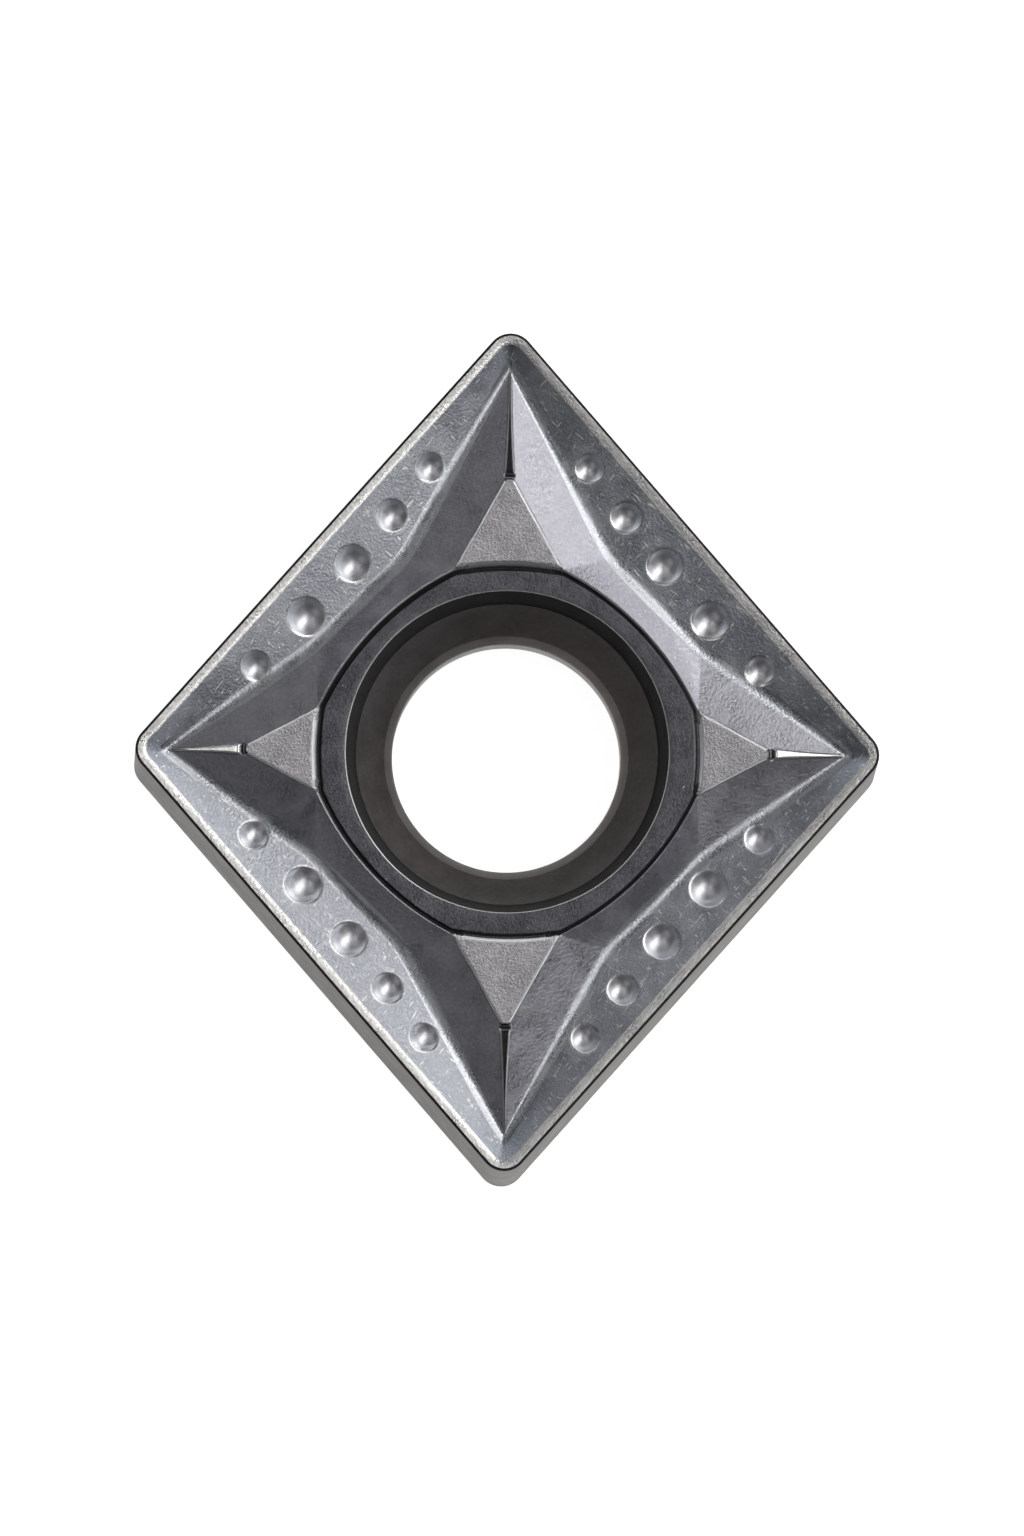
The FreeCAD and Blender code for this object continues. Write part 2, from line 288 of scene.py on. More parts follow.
def spaced_columns():
    """Values of u, closer together beside the dimples and at the creases of the star.

    They are equal steps of the running sum of length over spacing, with the creases put in.
    """
    u = np.linspace(0, STRETCHES, SAMPLES)
    middle = 0.5 * (offset_outline(u, LAND_WIDTH) + valley_line(u))
    step = np.r_[0, np.linalg.norm(np.diff(middle, axis=0), axis=1)]
    along = middle @ [-SIN, COS]
    nearest = np.min([np.abs(along - a) - r for a, _, r in DIMPLES], axis=0)
    spacing = np.interp(nearest, [DIMPLE_MARGIN, 4 * DIMPLE_MARGIN], [FINE, WIDE])
    spacing[(u < 1) | (u > STRETCHES - 1)] = NOSE_SPACING
    total = np.cumsum(step / spacing)
    columns = np.interp(np.linspace(0, total[-1], int(total[-1])), total, u)
    beside = np.array([0.002, 0.004, 0.006, 0.008, 0.011, 0.015, 0.022, 0.035])
    creases = np.r_[1 + beside, 1, 2, 3, 4, 4 - beside]
    near = np.abs(columns[:, None] - creases[None, :]).min(axis=1) < SAME_COLUMN
    return np.sort(np.r_[0, columns[~near][1:-1], creases, STRETCHES])


U = spaced_columns()
print("columns on one side:", len(U))

# %% [markdown]
# Now the profile. Each column of the mesh is a line of corner points: up the flank, over the
# cutting edge, down the band, up the star, across the pad or the ring, and down the bore. No
# corner of a sintered part is quite sharp. A Bevel modifier could round them, with one width
# for all. Here each corner has a softness of its own: it is a parabola between the points that
# lie that far before it and after it.

# %% a soft profile through given corners
# A soft corner takes at most this share of the straight part on either side of it
MOST_OF_PART = 0.45


def softened(corners, softness, shares, turns):
    """Rows through the corner lines, with a parabola of the given reach at each corner.

    corners is a list of arrays of points, one point for each column. shares lists, for each
    straight part, how far along it the rows lie, and turns how many rows each corner has.
    """
    rows, parts = [], []
    for k in range(len(corners) - 1):
        a, b = corners[k], corners[k + 1]
        length = np.linalg.norm(b - a, axis=1, keepdims=True)
        way = (b - a) / np.maximum(length, 1e-9)
        start = a + way * np.minimum(softness[k], MOST_OF_PART * length)
        end = b - way * np.minimum(softness[k + 1], MOST_OF_PART * length)
        for share in shares[k]:
            rows.append(start + np.reshape(share, (-1, 1)) * (end - start))
            parts.append(k)
        if k + 2 < len(corners):
            c = corners[k + 2]
            following = np.linalg.norm(c - b, axis=1, keepdims=True)
            after = b + (c - b) / np.maximum(following, 1e-9) * np.minimum(
                softness[k + 1], MOST_OF_PART * following)
            for t in np.linspace(0, 1, turns[k + 1] + 2)[1:-1]:
                rows.append((1 - t) ** 2 * end + 2 * t * (1 - t) * b + t ** 2 * after)
                parts.append(SOFT_PART.get(k, k))
    return np.array(rows), np.array(parts)


def raised(line, height):
    """A plan line lifted to one height."""
    return np.column_stack([line, np.full(len(line), height)])


def even(count):
    """Shares that cut a straight part into equal steps, both ends included."""
    return np.linspace(0, 1, count)


# The straight parts of the profile in their order, and the soft corners that have a name
FLANK, LAND, BAND, WALL, TOP, RIM, ENTRY, CONE, THROAT, BORE = range(10)
HONED, MOUTH, FOLD = 10, 11, 12
SOFT_PART = {FLANK: HONED, BAND: FOLD, RIM: MOUTH}
print("parts of the profile:", BORE + 1)

# %% [markdown]
# The bore, which takes the clamping pin or screw, goes right through. From each face it opens
# with a steep entry, a cone and a short throat, down to the plain bore at the mid-plane. It
# could be a turned body of its own, but as part of the same profile it has no seam with the
# ring. Its points lie on spokes, straight lines from the axis to the points of the ring's
# outline.

# %% corners of the profile
HONE = 0.045
RING_INSET = 0.13
MOUTH_RADIUS = 2.70
ENTRY_RADIUS, ENTRY_HEIGHT = 2.55, RING - 0.49
THROAT_RADIUS, THROAT_HEIGHT = 2.05, 0.48
BORE_RADIUS, BORE_HEIGHT = 1.905, 0.30

valley_row = eased(U, valley_line, BEND_REACH)
star_row = star_line(U)
ring_row = ring_line(U, RING_INSET)
spokes = ring_row / np.linalg.norm(ring_row, axis=1, keepdims=True)

corners = [
    raised(offset_outline(U, 0.0), 0.0),
    raised(offset_outline(U, 0.0), EDGE),
    raised(offset_outline(U, LAND_WIDTH), LAND_FOOT),
    raised(valley_row, VALLEY),
    raised(star_row, RING),
    raised(ring_row, RING),
    raised(spokes * MOUTH_RADIUS, RING),
    raised(spokes * ENTRY_RADIUS, ENTRY_HEIGHT),
    raised(spokes * THROAT_RADIUS, THROAT_HEIGHT),
    raised(spokes * BORE_RADIUS, BORE_HEIGHT),
    raised(spokes * BORE_RADIUS, 0.0),
]

# How soft each of these corners is
softness = [0, HONE, 0.02, 0.15, 0.012, 0, 0.02, 0.05, 0.02, 0.03, 0]
print("corners of the profile:", len(corners))

# %% [markdown]
# The rows are spent where the form turns. A pad's bevel is only a few hundredths of a
# millimetre wide, so rows stand close to both ends of the top, at fixed distances from its
# edges. Where there is no pad, the same rows share out the narrow crease. An even spacing would
# be simpler, and would miss both. A row very close to the mid-plane at each end of the profile
# keeps the shade of the flank and of the bore from bending where the two halves meet.

# %% rows of the profile
EDGE_ROWS = np.array([0, 0.012, 0.024, 0.036, 0.05, 0.065, 0.085, 0.12, 0.18])
BASE_ROWS = np.array([0, 0.012, 0.03, 0.05, 0.085, 0.12, 0.15, 0.168, 0.18, 0.192, 0.21, 0.25])
MOST_OF_TOP = 0.48
FLANK_ROWS, BORE_ROWS = [0, 0.003, 1], [0, 0.985, 1]
WALL_ROWS = [0, 0.2, 0.4, 0.6, 0.75, 0.86, 0.91, 0.94, 0.965, 0.985, 1]

width = np.linalg.norm(ring_row - star_row, axis=1)
outer_squeeze = np.minimum(1, MOST_OF_TOP * width / EDGE_ROWS[-1])
outer_rows = [offset * outer_squeeze / width for offset in EDGE_ROWS]
inner_squeeze = np.minimum(1, MOST_OF_TOP * width / BASE_ROWS[-1])
inner_rows = [1 - offset * inner_squeeze / width for offset in BASE_ROWS[::-1]]
middle_rows = [outer_rows[-1] + part * (inner_rows[0] - outer_rows[-1]) for part in (0.33, 0.67)]
top_rows = outer_rows + middle_rows + inner_rows

shares = [FLANK_ROWS, even(3), even(36), WALL_ROWS, top_rows,
          even(4), even(3), even(4), even(2), BORE_ROWS]

# How many rows turn each corner
turns = [0, 5, 1, 7, 1, 0, 3, 3, 1, 2, 0]
quarter, parts = softened(corners, softness, shares, turns)
print("rows:", len(quarter), "points on one side:", quarter.shape[0] * quarter.shape[1])

# %% [markdown]
# The four sides of an insert are alike, so that it can be turned and flipped in its holder. A
# Mirror modifier would copy the first side, and leave seams that have to be merged. Here the
# arrays are mirrored about both diagonals. The columns of a mirrored side run backwards, so the
# four sides join into one closed ring of columns.

# %% four sides from one


def all_round(rows):
    """Rows of one side, mirrored about the diagonals and joined in a ring."""
    forward = rows[:, :-1]
    backward = rows[:, :0:-1]
    return np.concatenate([
        forward, backward * [1, -1, 1], forward * [-1, -1, 1], backward * [-1, 1, 1]], axis=1)


upper = all_round(quarter)
print("points in one half:", upper.shape[0] * upper.shape[1])

# %% [markdown]
# What is left is a matter of height alone. The pads are ground level and stand a little over
# the ring, and a shallow crease parts the ring from the star. Both could be cut with more
# corners in the profile, but a pad is there in some columns only. So the height is a function
# of the place in plan, worked out for all the points of the top at once. The same distances
# tell where an edge is made bright, partly as wear and partly as a painted highlight, which the
# finishes use later.

# %% pads and crease
# the pads' bevel, and the width of the bright strips on the pads' edges, partly wear and partly
# painted highlight, and on the ring's edge, a painted highlight
PAD_BEVEL, PAD_EDGE_WIDTH = 0.05, 0.013
BEVEL_TOP = 0.75
CREASE_WIDTH, CREASE_LEAN, CREASE_RISER, CREASE_DEPTH = 0.07, 0.025, 0.032, 0.05
NOTCH_REACH = 0.10
NO_PAD = 0.01


def smooth_step(t):
    """Rises from 0 to 1 with level ends: three t squared less two t cubed."""
    t = np.clip(t, 0, 1)
    return t * t * (3 - 2 * t)


def beyond(x, y, centre):
    """Distance outside one of the ring's arcs."""
    return np.hypot(x - centre[0], y - centre[1]) - RING_ARC


def inside_pad(x, y, tip, corner, centre, before_tip):
    """Distance inside a pad: the least of those to its side, to its base and to its tip."""
    way = (corner - tip) / np.linalg.norm(corner - tip)
    side = way[0] * (y - tip[1]) - way[1] * (x - tip[0])
    side = side * np.sign(way[1] * tip[0] - way[0] * tip[1])
    return np.minimum.reduce([side, beyond(x, y, centre), before_tip])


def from_pad_tip(x, y):
    """Distance in plan from the nearer pad's tip, which lies on a diagonal."""
    return np.minimum(np.hypot(x, y - PAD_TIP_LONG[1]), np.hypot(x - PAD_TIP_SHORT[0], y))


def top_height(x, y):
    """Height of the star's top, and how bright its edges are made.

    The height is the ring's, plus a smooth step up to each pad, less the crease, which is the
    lesser of a long chamfer and a short riser. The brightening is a bell curve across each pad's
    edge, partly wear and partly painted highlight, and one across the ring's outer edge on the
    upper sides only, which is a painted highlight.
    """
    lean = (y - x) / (math.sqrt(2) * np.hypot(x, y))
    upward = smooth_step(0.5 + y / np.hypot(x, y))
    x, y = np.abs(x), np.abs(y)
    in_long = inside_pad(
        x, y, PAD_TIP_LONG, PAD_CORNER_LONG, ARC_LONG, PAD_TIP_LONG[1] - y)
    in_short = inside_pad(
        x, y, PAD_TIP_SHORT, PAD_CORNER_SHORT, ARC_SHORT, PAD_TIP_SHORT[0] - x)
    in_pad = np.maximum(in_long, in_short)
    pad = smooth_step(in_pad / PAD_BEVEL)

    inward = -np.maximum.reduce([beyond(x, y, arc) for arc in (ARC_LONG, ARC_MIDDLE, ARC_SHORT)])
    chamfer = inward / (CREASE_WIDTH + CREASE_LEAN * lean)
    riser = (CREASE_WIDTH + CREASE_LEAN * lean + CREASE_RISER - inward) / CREASE_RISER
    crease = np.clip(np.minimum(chamfer, riser), 0, 1)

    # the pads' edges made bright: partly wear, partly painted highlight
    pad_edge = np.exp(-((in_pad - BEVEL_TOP * PAD_BEVEL) / PAD_EDGE_WIDTH) ** 2)
    pad_edge[from_pad_tip(x, y) < NOTCH_REACH] = 0
    # painted highlight: the ring's outer edge made bright on the upper sides only
    ring_edge = upward * np.exp(-((inward - PAD_EDGE_WIDTH) / PAD_EDGE_WIDTH) ** 2)
    highlight_and_wear = np.maximum(pad_edge, ring_edge * (pad < NO_PAD))
    return RING + (SEAT - RING) * pad - CREASE_DEPTH * crease, highlight_and_wear


on_top = (parts == TOP) | (parts == RIM)
upper[on_top, :, 2], top_highlight_and_wear = top_height(upper[on_top, :, 0], upper[on_top, :, 1])
top = upper[on_top, :, 2]
print("top, from crease to pad:", top.min().round(3), "to", top.max().round(3))

# %% [markdown]
# Where two walls of the star meet, their crest runs out to the nose. The die leaves a thin rib
# along it, wider towards the pad, and a notch where the rib ends. It could be a thin wedge laid
# on top, which would cut through the walls. Raising the points that lie near the diagonal keeps
# one closed surface.

# %% ribs on the crests
CREST_RISE, CREST_SIDE, CREST_EDGE = 0.03, 0.03, 0.009
CREST_START, CREST_FLARE = 0.008, 2.2
CREST_GROWTH, CREST_END = 0.12, 0.93
NOTCH, PAST_TIP = 0.035, 1.05


def crest_rise(off, reach, tip, valley_tip):
    """Height of the rib on a crest, full between its flaring edges, and the brightening of its
    edges, partly wear and partly painted highlight.

    t grows from 0 at the valley's tip to 1 at the pad's, and the half width of the rib with a
    power of t. The rib ends a little before the pad, and a notch parts the two.
    """
    t = np.clip((valley_tip - reach) / (valley_tip - tip[1]), 0, PAST_TIP)
    edge = CREST_START + (tip[0] - CREST_START) * t ** CREST_FLARE
    beside = smooth_step(1 - (off - edge) / CREST_SIDE)
    ending = smooth_step((1 - t) / (1 - CREST_END))
    starting = smooth_step(t / CREST_GROWTH)
    # the rib's edges made bright: partly wear, partly painted highlight
    highlight_and_wear = ending * starting * np.exp(-((off - edge - CREST_EDGE) / CREST_EDGE) ** 2)
    return beside * starting * (CREST_RISE * ending - NOTCH * (1 - ending)), highlight_and_wear


def both_crests(x, y):
    """The ribs on the long and the short diagonal: their height and the brightening of their
    edges, partly wear and partly painted highlight.
    """
    x, y = np.abs(x), np.abs(y)
    on_long = np.array(crest_rise(x, y, PAD_TIP_LONG, VALLEY_TIP_LONG[1]))
    on_short = np.array(crest_rise(y, x, PAD_TIP_SHORT[::-1], VALLEY_TIP_SHORT[0]))
    on_long[:, y < PAD_TIP_LONG[1]] = 0
    on_short[:, x < PAD_TIP_SHORT[0]] = 0
    return on_long + on_short


on_wall = parts == WALL
ribs, rib_highlight_and_wear = both_crests(upper[on_wall, :, 0], upper[on_wall, :, 1])
upper[on_wall, :, 2] += ribs
print("ribs, from notch to crest:", ribs.min().round(3), "to", ribs.max().round(3))

# %% [markdown]
# The dimples are round hollows in the band, which let the chip touch less of it. A Boolean with
# twenty balls would cut them, with a ragged fan of faces round each. Here every point under a
# ball goes down to the ball, whose wall meets the sloping band at the same angle all round. The
# lower of the band and the ball is taken, and blended over a short reach, which makes the lip.

# %% dimples pressed into the band
DIMPLE_WALL_ANGLE = math.radians(50)
DIMPLE_REACH = 1.15
LIP = 0.022
# width of the painted highlight on each dimple's rim, its share on the far side, and the
# direction in plan from the full side to the faint one
RIM_WIDTH, FAINT_RIM = 0.022, 0.25
RIM_FACES = (0.5, 0.86)


def lower_of(a, b, reach):
    """The lower of two heights, blended where they differ by less than reach."""
    h = np.clip(0.5 + 0.5 * (b - a) / reach, 0, 1)
    return b + (a - b) * h - reach * h * (1 - h)


def valley_inset(along):
    """How far the valley lies in from the edge, beside a point of the side."""
    line = valley_line(np.linspace(0, STRETCHES, 501))
    return np.interp(-along, -(line @ [-SIN, COS]), INSCRIBED_CIRCLE / 2 - line @ [COS, SIN])


def press_dimples(points):
    """Heights with the balls pressed in, which points lie in a dimple, and the rims' painted
    highlight.

    The painted highlight is a bell curve across each rim, full at the lower left, where the lip
    faces the main light, and faint opposite.
    """
    x, y = np.abs(points[..., 0]), np.abs(points[..., 1])
    height = points[..., 2].copy()
    inside = np.zeros(height.shape, bool)
    rim = np.zeros(height.shape)
    for along, inset, radius in DIMPLES:
        place = side_point(along, inset)
        slope = (LAND_FOOT - VALLEY) / (valley_inset(along) - LAND_WIDTH)
        ball = radius / math.sin(DIMPLE_WALL_ANGLE)
        rise = radius / math.tan(DIMPLE_WALL_ANGLE)
        tilt = math.sqrt(1 + slope ** 2)
        centre = side_point(along, inset + rise * slope / tilt)
        level = LAND_FOOT - (inset - LAND_WIDTH) * slope + rise / tilt
        flat = (x - centre[0]) ** 2 + (y - centre[1]) ** 2
        reach = np.hypot(x - place[0], y - place[1])
        floor = level - np.sqrt(np.clip(ball ** 2 - flat, 0, None))
        here = reach < DIMPLE_REACH * radius
        height[here] = lower_of(height[here], floor[here], LIP)
        inside |= reach < radius

        # painted highlight on the rim: full at the lower left, faint at the upper right
        aside = (x - place[0]) * np.sign(points[..., 0])
        above = (y - place[1]) * np.sign(points[..., 1])
        facing = (RIM_FACES[0] * aside + RIM_FACES[1] * above) / np.maximum(reach, 1e-6)
        share = FAINT_RIM + (1 - FAINT_RIM) * smooth_step(0.5 - facing)
        rim = np.maximum(rim, share * np.exp(-((reach - radius) / RIM_WIDTH) ** 2))
    return height, inside, rim


on_band = (parts == BAND) | (parts == LAND) | (parts == FOLD)
upper[on_band, :, 2], dimpled, dimple_rim_highlight = press_dimples(upper[on_band])
print("deepest dimple below the edge:", round(EDGE - upper[on_band, :, 2].min(), 3))

# %% [markdown]
# Hands, chips and the tray rub some edges of an insert bright, and thin highlights lie along
# others. Both are painted here: the pads' edges and the ribs' edges get partly wear and partly
# a painted highlight, and the dimples' rims, mostly at the lower left, the ring's outer edge on
# the upper sides and the land's inner edge get a painted highlight. That brightening could be
# found in the shader from how sharp the surface bends, which differs from one renderer to the
# next. The distances to the edges are known here, so each point gets its brightening from 0 to
# 1 as an attribute, which stays with the mesh.

# %% painted highlights and wear of the edges
# how bright the ribs' edges get, partly wear and partly painted highlight, and how bright the
# painted highlight on the land's inner edge is
CREST_HIGHLIGHT_AND_WEAR, LAND_EDGE_HIGHLIGHT = 0.8, 0.6

rim_highlight_and_wear = np.zeros(upper.shape[:2])
rim_highlight_and_wear[on_band] = dimple_rim_highlight
rim_highlight_and_wear[on_top] = top_highlight_and_wear
rim_highlight_and_wear[on_wall] = CREST_HIGHLIGHT_AND_WEAR * rib_highlight_and_wear
# painted highlight along the land's inner edge, on its last two rows
rim_highlight_and_wear[np.flatnonzero(parts == LAND)[-2:]] = LAND_EDGE_HIGHLIGHT
print("share of the points that are worn:", (rim_highlight_and_wear > 0.5).mean().round(3))

# %% [markdown]
# No two zones of an insert are finished alike: the flanks are ground, the bands are as pressed
# and the pads are ground to size. Some finishes are painted light and shade: near-black painted
# shade in the crease, in the entry of the bore, along the honed edge and in the notches, and
# painted highlights on the pads' bevels, the mouth of the bore, the fold of the valley and the
# dimples. Separate objects would open seams between the zones. Here each face has the number
# of its finish, by its row, and then by its height and place. A rib gets a painted highlight on
# the short diagonal and painted shade on the long one.

# %% the finish of each face
FINISHES = ["flank", "land", "band", "wall", "pad", "ring", "entry", "cone", "throat",
            "dimple", "painted_shade", "edge", "fold", "crest"]
NUMBER = {name: k for k, name in enumerate(FINISHES)}
# painted shade, near black, on the honed edge; painted highlights on the mouth of the bore and on
# the fold of the valley
FINISH_OF_PART = {
    FLANK: "flank", LAND: "land", BAND: "band", WALL: "wall", TOP: "ring", RIM: "ring",
    ENTRY: "entry", CONE: "cone", THROAT: "throat", BORE: "throat",
    HONED: "painted_shade", MOUTH: "edge", FOLD: "fold"}
LEVEL_MARGIN = 0.006
# how deep in the crease the painted shade starts, as a share of its depth, and how high a rib and
# how deep a notch must be to get their finishes
PAINTED_SHADE_DEPTH, SHOWN_RIB, SHOWN_NOTCH = 0.4, 0.4, 0.1


def finish_of_faces():
    """Number of each face's finish, by its part of the profile, its height and its place."""
    by_row = np.array([NUMBER[FINISH_OF_PART[part]] for part in parts])
    finish = np.repeat(by_row[:, None], upper.shape[1], axis=1)
    x, y, z = np.abs(upper[..., 0]), np.abs(upper[..., 1]), upper[..., 2]

    in_top = (parts == TOP)[:, None]
    pad = in_top & (z > SEAT - LEVEL_MARGIN)
    bevel = in_top & (z > RING + LEVEL_MARGIN) & ~pad
    finish[pad] = NUMBER["pad"]
    # painted highlight on the pads' bevels
    finish[bevel] = NUMBER["edge"]
    # painted shade on the bevel near a pad's tip
    finish[bevel & (from_pad_tip(x, y) < NOTCH_REACH)] = NUMBER["painted_shade"]
    # painted shade in the bottom of the crease
    finish[in_top & (z < RING - PAINTED_SHADE_DEPTH * CREASE_DEPTH)] = NUMBER["painted_shade"]

    # painted highlight on the ribs of the short diagonal, painted shade on those of the long one
    crest = np.where(x > y, NUMBER["crest"], NUMBER["painted_shade"])[on_wall]
    finish[on_wall] = np.where(ribs > SHOWN_RIB * CREST_RISE, crest, finish[on_wall])
    # painted shade in the notch where a rib ends
    finish[on_wall] = np.where(ribs < -SHOWN_NOTCH * NOTCH, NUMBER["painted_shade"], finish[on_wall])
    # the dimples' much lighter metal is a painted highlight
    finish[on_band] = np.where(dimpled, NUMBER["dimple"], finish[on_band])
    finish[-1] = NUMBER["flank"]
    return finish


face_finish = finish_of_faces()
print("faces of each finish:", dict(zip(FINISHES, np.bincount(face_finish.ravel()).tolist())))

# %% [markdown]
# The rows now go into two meshes. The insert is one piece, but a mesh as fine as this is
# lighter to handle as an upper and a lower half that meet at the mid-plane. Each half is a
# closed ring: the last row, in the bore, is joined to the first one, at the foot of the flank.
# That joining face is shaded flat, and everything else smooth. The arrays go in whole, with
# foreach_set, which is much quicker than a loop over the points.

# %% meshes


def half_mesh(name, side):
    """Mesh of one half: side is 1 for the upper and -1 for the lower."""
    rows, columns = upper.shape[:2]
    points = upper * [1, 1, side]
    points[..., 2] += SEAT
    r, c = np.meshgrid(np.arange(rows), np.arange(columns), indexing="ij")
    below, beside = (r + 1) % rows, (c + 1) % columns
    quads = np.stack([r * columns + c, r * columns + beside,
                      below * columns + beside, below * columns + c], axis=-1)
    if side > 0:
        quads = quads[..., ::-1]
    smooth = np.ones((rows, columns), bool)
    smooth[-1] = False

    mesh = bpy.data.meshes.new(name)
    mesh.vertices.add(rows * columns)
    mesh.vertices.foreach_set("co", (points * MM).ravel())
    mesh.loops.add(quads.size)
    mesh.loops.foreach_set("vertex_index", quads.ravel())
    mesh.polygons.add(rows * columns)
    mesh.polygons.foreach_set("loop_start", np.arange(0, quads.size, 4))
    mesh.polygons.foreach_set("material_index", face_finish.ravel())
    mesh.polygons.foreach_set("use_smooth", smooth.ravel())
    # the brightening of the edges, partly wear and partly painted highlight, as an attribute
    highlight_and_wear = mesh.attributes.new("rim_highlight_and_wear", "FLOAT", "POINT")
    highlight_and_wear.data.foreach_set("value", rim_highlight_and_wear.ravel())
    mesh.update(calc_edges=True)
    mesh.validate()
    piece = bpy.data.objects.new(name, mesh)
    bpy.context.scene.collection.objects.link(piece)
    return piece


halves = [half_mesh("insert_upper_half", 1), half_mesh("insert_lower_half", -1)]
for half in halves:
    print(half.name, len(half.data.polygons) * 2, "triangles")

# %% [markdown]
# Hard metal looks grey and even from afar, but close by it has a grain, slow clouds and short
# scratches. A photograph of metal could be laid on, but it would carry its own light and its
# own scale. The patterns here are noise in Object coordinates, so they keep their real size.
# Each is a node group, built once and placed in every finish with that finish's values.

# %% tools for building the effects


def effect(name, inputs, outputs):
    """Empty node group with named values, and its two end nodes."""
    tree = bpy.data.node_groups.new(name, "ShaderNodeTree")
    for label, kind, value in inputs:
        socket = tree.interface.new_socket(label, in_out="INPUT", socket_type=kind)
        if value is not None:
            socket.default_value = value
    for label, kind in outputs:
        tree.interface.new_socket(label, in_out="OUTPUT", socket_type=kind)
    return tree, tree.nodes.new("NodeGroupInput"), tree.nodes.new("NodeGroupOutput")


def math_node(tree, operation, first, second):
    """Arithmetic on two values, each a number or another node's output."""
    node = tree.nodes.new("ShaderNodeMath")
    node.operation = operation
    for socket, value in zip(node.inputs, (first, second)):
        if isinstance(value, (int, float)):
            socket.default_value = value
        else:
            tree.links.new(value, socket)
    return node.outputs[0]


def between(tree, value, low, high, to_low=0.0, to_high=1.0):
    """Value mapped from one range to another with soft ends."""
    node = tree.nodes.new("ShaderNodeMapRange")
    node.interpolation_type = "SMOOTHSTEP"
    for label, limit in (("From Min", low), ("From Max", high),
                         ("To Min", to_low), ("To Max", to_high)):
        if isinstance(limit, (int, float)):
            node.inputs[label].default_value = limit
        else:
            tree.links.new(limit, node.inputs[label])
    tree.links.new(value, node.inputs["Value"])
    return node.outputs["Result"]


def noise(tree, vector, scale, detail, roughness):
    """Noise whose scale is in features per metre."""
    node = tree.nodes.new("ShaderNodeTexNoise")
    node.inputs["Detail"].default_value = detail
    node.inputs["Roughness"].default_value = roughness
    tree.links.new(vector, node.inputs["Vector"])
    tree.links.new(scale, node.inputs["Scale"])
    return node.outputs["Fac"]


print("node groups so far:", len(bpy.data.node_groups))

# %% [markdown]
# The grain is the imprint of the powder, and the clouds are where the furnace left the skin
# thicker. Both are plain noise, fine for the one and slow for the other. The scratches come
# from handling. They could be drawn as curves, but there are thousands, so they are a noise
# drawn out in one direction, of which only the highest parts are kept.

# %% grain, mottle and scratches
GRAIN_RANGE, MOTTLE_RANGE, PATCH_RANGE = (0.3, 0.7), (0.25, 0.75), (0.45, 0.6)

# The noise of a scratch is drawn out along its first axis and squeezed along its second one
DRAWN_OUT = (0.30, 1.9, 1.0)
MARK_EDGE, PATCH_SCALE = 0.06, 0.35


def make_grain():
    """Grain: fine noise, stretched so that it uses the whole range from 0 to 1."""
    tree, start, end = effect(
        "grain", [("Vector", "NodeSocketVector", None), ("Scale", "NodeSocketFloat", 20000.0)],
        [("Grain", "NodeSocketFloat")])
    value = noise(tree, start.outputs["Vector"], start.outputs["Scale"], 3.0, 0.65)
    tree.links.new(between(tree, value, *GRAIN_RANGE), end.inputs["Grain"])
    return tree


def make_mottle():
    """Mottle: slow noise for clouds of lighter and darker metal."""
    tree, start, end = effect(
        "mottle", [("Vector", "NodeSocketVector", None), ("Scale", "NodeSocketFloat", 2500.0)],
        [("Mottle", "NodeSocketFloat")])
    value = noise(tree, start.outputs["Vector"], start.outputs["Scale"], 2.0, 0.5)
    tree.links.new(between(tree, value, *MOTTLE_RANGE), end.inputs["Mottle"])
    return tree


def make_scratches():
    """Scratches: noise drawn out along one direction, kept only above a threshold.

    A second, slower noise breaks the lines up into short marks in some places.
    """
    tree, start, end = effect(
        "scratches",
        [("Vector", "NodeSocketVector", None), ("Scale", "NodeSocketFloat", 17000.0),
         ("Turn", "NodeSocketVector", (0, 0, 0.7)), ("Threshold", "NodeSocketFloat", 0.62)],
        [("Scratches", "NodeSocketFloat")])
    turned = tree.nodes.new("ShaderNodeVectorRotate")
    turned.rotation_type = "EULER_XYZ"
    tree.links.new(start.outputs["Vector"], turned.inputs["Vector"])
    tree.links.new(start.outputs["Turn"], turned.inputs["Rotation"])
    drawn = tree.nodes.new("ShaderNodeVectorMath")
    drawn.operation = "MULTIPLY"
    drawn.inputs[1].default_value = DRAWN_OUT
    tree.links.new(turned.outputs[0], drawn.inputs[0])
    lines = noise(tree, drawn.outputs[0], start.outputs["Scale"], 1.0, 0.5)
    ceiling = math_node(tree, "ADD", start.outputs["Threshold"], MARK_EDGE)
    marks = between(tree, lines, start.outputs["Threshold"], ceiling)
    slow = math_node(tree, "MULTIPLY", start.outputs["Scale"], PATCH_SCALE)
    patches = between(
        tree, noise(tree, start.outputs["Vector"], slow, 1.0, 0.5), *PATCH_RANGE)
    tree.links.new(math_node(tree, "MULTIPLY", marks, patches), end.inputs["Scratches"])
    return tree


EFFECTS = {"grain": make_grain(), "mottle": make_mottle(), "scratches": make_scratches()}
print("effects:", sorted(EFFECTS))

# %% [markdown]
# One function dresses a zone. The clouds and the grain choose between a darker and a lighter
# metal and the clouds between two roughnesses, the scratches add bright flecks, and grain less
# scratches is the height of a bump. Where an edge is made bright, partly as wear and partly as
# a painted highlight, all this gives way to a smoother white metal. A material built by hand
# for each zone could do the same, but the zones would drift apart.

# %% one function for every finish
SECOND_TURN, SECOND_SCALE = (0, 0, -0.9), 13000.0
CLOUD_SHARE, GRAIN_SHARE = 0.5, 0.5
FLECK_DEPTH = 0.6
